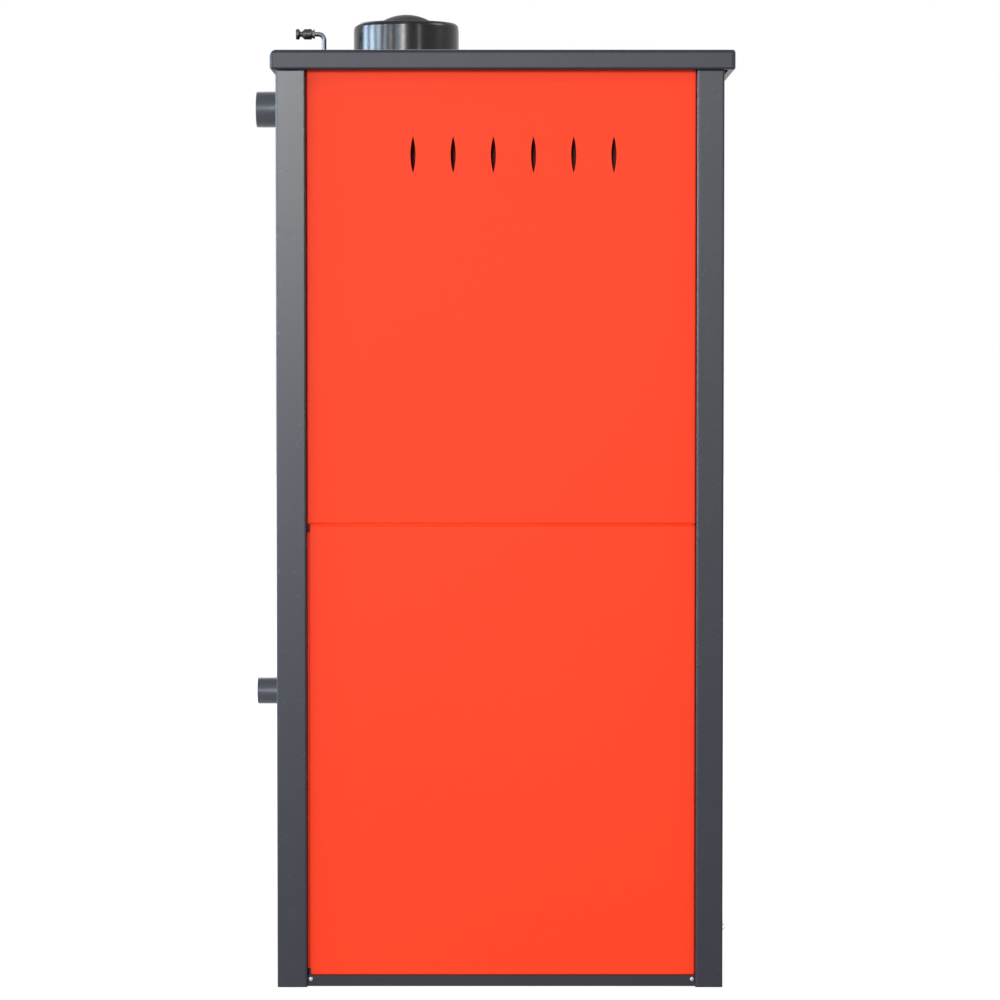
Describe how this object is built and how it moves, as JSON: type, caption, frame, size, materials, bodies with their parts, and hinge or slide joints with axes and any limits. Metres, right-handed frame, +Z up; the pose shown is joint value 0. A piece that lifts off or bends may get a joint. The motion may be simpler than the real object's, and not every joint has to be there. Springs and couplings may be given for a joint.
{
  "type": "wood cook stove",
  "caption": "Tall wood-burning cook stove with an oven over a glazed firebox, an ash drawer, a water jacket with flow and return sockets, and a capped flue collar on the lid.",
  "frame": {"origin": "centre of the base tray's underside, on the floor", "axes": "+Z up; the front with the doors faces -Y; the pictured side faces -X"},
  "size_m": [0.584, 0.662, 1.3299],
  "materials": {
    "base_tray": "satin dark grey paint",
    "plinth_screws": "bright zinc plate",
    "post_front_left": "satin anthracite powder coat",
    "post_front_right": "satin anthracite powder coat",
    "post_rear_left": "satin anthracite powder coat",
    "post_rear_right": "satin anthracite powder coat",
    "side_panel_upper_left": "semi-gloss orange-red powder coat",
    "side_panel_lower_left": "semi-gloss orange-red powder coat",
    "side_panel_upper_right": "semi-gloss orange-red powder coat",
    "side_panel_lower_right": "semi-gloss orange-red powder coat",
    "rear_panel_upper": "satin anthracite powder coat",
    "rear_panel_lower": "satin anthracite powder coat",
    "lid": "satin anthracite powder coat",
    "front_fascia": "semi-gloss orange-red powder coat",
    "front_rails": "satin anthracite powder coat",
    "hinge_pins": "brushed steel",
    "insulation": "mineral wool mat",
    "jacket_outer": "black heat-proof paint on steel",
    "jacket_inner": "black heat-proof paint on steel",
    "front_plate": "black heat-proof paint on steel",
    "latch_keepers": "brushed steel",
    "flue_collar": "glossy black enamel",
    "flue_cap": "glossy black enamel",
    "flow_socket": "semi-gloss dark paint on steel pipe",
    "return_socket": "semi-gloss dark paint on steel pipe",
    "bleed_tube": "brushed steel",
    "bleed_body": "black heat-proof paint on steel",
    "bleed_knob": "black heat-proof paint on steel",
    "fire_bricks": "fired chamotte",
    "hearth_frame": "matt black cast iron",
    "throat_baffle": "pressed vermiculite",
    "shaker_grate": "matt black cast iron",
    "shaker_rod": "brushed steel",
    "oven_box": "glossy black enamel",
    "oven_runners": "brushed steel",
    "oven_rack": "brushed steel",
    "baking_tray": "glossy black enamel",
    "smoke_shelf": "black heat-proof paint on steel",
    "damper": "brushed steel",
    "gauge_cases": "bright zinc plate",
    "gauge_lenses": "clear glass",
    "boiler_pointer": "red lacquer",
    "oven_pointer": "red lacquer",
    "fire_door_frame": "matt black cast iron",
    "fire_door_glass": "ceramic glass, faintly smoked",
    "fire_door_seal": "woven glass-fibre rope",
    "fire_door_clips": "brushed steel",
    "airwash_slide": "brushed steel",
    "fire_handle": "black bakelite",
    "fire_latch": "brushed steel",
    "oven_door_frame": "matt black cast iron",
    "oven_door_glass": "ceramic glass, faintly smoked",
    "oven_door_seal": "woven glass-fibre rope",
    "oven_door_clips": "brushed steel",
    "oven_handle": "black bakelite",
    "oven_latch": "brushed steel",
    "ash_drawer_front": "semi-gloss orange-red powder coat",
    "ash_pan": "black heat-proof paint on steel",
    "ash_handle": "brushed steel",
    "air_rosette": "brushed steel"
  },
  "bodies": {
    "stove": {"base_tray": "base_tray", "plinth_screws": "plinth_screws", "post_front_left": "post_front_left", "post_front_right": "post_front_right", "post_rear_left": "post_rear_left", "post_rear_right": "post_rear_right", "side_panel_upper_left": "side_panel_upper_left", "side_panel_lower_left": "side_panel_lower_left", "side_panel_upper_right": "side_panel_upper_right", "side_panel_lower_right": "side_panel_lower_right", "rear_panel_upper": "rear_panel_upper", "rear_panel_lower": "rear_panel_lower", "lid": "lid", "front_fascia": "front_fascia", "front_rails": "front_rails", "hinge_pins": "hinge_pins", "insulation": "insulation", "jacket_outer": "jacket_outer", "jacket_inner": "jacket_inner", "front_plate": "front_plate", "latch_keepers": "latch_keepers", "flue_collar": "flue_collar", "flow_socket": "flow_socket", "return_socket": "return_socket", "bleed_tube": "bleed_tube", "bleed_body": "bleed_body", "fire_bricks": "fire_bricks", "hearth_frame": "hearth_frame", "throat_baffle": "throat_baffle", "oven_box": "oven_box", "oven_runners": "oven_runners", "smoke_shelf": "smoke_shelf", "gauge_cases": "gauge_cases", "gauge_lenses": "gauge_lenses"},
    "fire_door": {"fire_door_frame": "fire_door_frame", "fire_door_glass": "fire_door_glass", "fire_door_seal": "fire_door_seal", "fire_door_clips": "fire_door_clips"},
    "airwash": {"airwash_slide": "airwash_slide"},
    "fire_lever": {"fire_handle": "fire_handle", "fire_latch": "fire_latch"},
    "oven_door": {"oven_door_frame": "oven_door_frame", "oven_door_glass": "oven_door_glass", "oven_door_seal": "oven_door_seal", "oven_door_clips": "oven_door_clips"},
    "oven_lever": {"oven_handle": "oven_handle", "oven_latch": "oven_latch"},
    "ash_drawer": {"ash_drawer_front": "ash_drawer_front", "ash_pan": "ash_pan", "ash_handle": "ash_handle"},
    "rosette": {"air_rosette": "air_rosette"},
    "grate": {"shaker_grate": "shaker_grate", "shaker_rod": "shaker_rod"},
    "damper": {"damper": "damper"},
    "rack": {"oven_rack": "oven_rack"},
    "tray": {"baking_tray": "baking_tray"},
    "cap": {"flue_cap": "flue_cap"},
    "bleed": {"bleed_knob": "bleed_knob"},
    "boiler_needle": {"boiler_pointer": "boiler_pointer"},
    "oven_needle": {"oven_pointer": "oven_pointer"}
  },
  "joints": [
    {"name": "fire_door_swing", "type": "hinge", "parent": "stove", "child": "fire_door", "pos_m": [-0.2325, -0.282, 0.411], "axis": [0, 0, -1], "range_deg": [0, 95]},
    {"name": "airwash_shift", "type": "slide", "parent": "fire_door", "child": "airwash", "axis": [1, 0, 0], "range_m": [0, 0.012]},
    {"name": "fire_lever_turn", "type": "hinge", "parent": "fire_door", "child": "fire_lever", "pos_m": [0.205, -0.288, 0.411], "axis": [0, 1, 0], "range_deg": [0, 60]},
    {"name": "oven_door_swing", "type": "hinge", "parent": "stove", "child": "oven_door", "pos_m": [-0.2325, -0.282, 0.837], "axis": [0, 0, -1], "range_deg": [0, 95]},
    {"name": "oven_lever_turn", "type": "hinge", "parent": "oven_door", "child": "oven_lever", "pos_m": [0.205, -0.288, 0.837], "axis": [0, 1, 0], "range_deg": [0, 60]},
    {"name": "ash_drawer_pull", "type": "slide", "parent": "stove", "child": "ash_drawer", "axis": [0, -1, 0], "range_m": [0, 0.3]},
    {"name": "rosette_turn", "type": "hinge", "parent": "ash_drawer", "child": "rosette", "pos_m": [0, -0.288, 0.128], "axis": [0, -1, 0], "range_deg": [0, 30]},
    {"name": "grate_shake", "type": "slide", "parent": "stove", "child": "grate", "axis": [0, -1, 0], "range_m": [0, 0.02]},
    {"name": "damper_pull", "type": "slide", "parent": "stove", "child": "damper", "axis": [0, -1, 0], "range_m": [0, 0.045]},
    {"name": "rack_pull", "type": "slide", "parent": "stove", "child": "rack", "axis": [0, -1, 0], "range_m": [0, 0.05]},
    {"name": "tray_pull", "type": "slide", "parent": "stove", "child": "tray", "axis": [0, -1, 0], "range_m": [0, 0.05]},
    {"name": "cap_lift", "type": "slide", "parent": "stove", "child": "cap", "axis": [0, 0, 1], "range_m": [0, 0.06]},
    {"name": "bleed_turn", "type": "hinge", "parent": "stove", "child": "bleed", "pos_m": [0, 0.2808, 1.3028], "axis": [0, 1, 0], "range_deg": [0, 180]},
    {"name": "boiler_needle_turn", "type": "hinge", "parent": "stove", "child": "boiler_needle", "pos_m": [-0.12, -0.29, 1.135], "axis": [0, 1, 0], "range_deg": [0, 270], "stiffness_Nm_per_rad": 0.002},
    {"name": "oven_needle_turn", "type": "hinge", "parent": "stove", "child": "oven_needle", "pos_m": [0, -0.29, 1.135], "axis": [0, 1, 0], "range_deg": [0, 270], "stiffness_Nm_per_rad": 0.002}
  ]
}
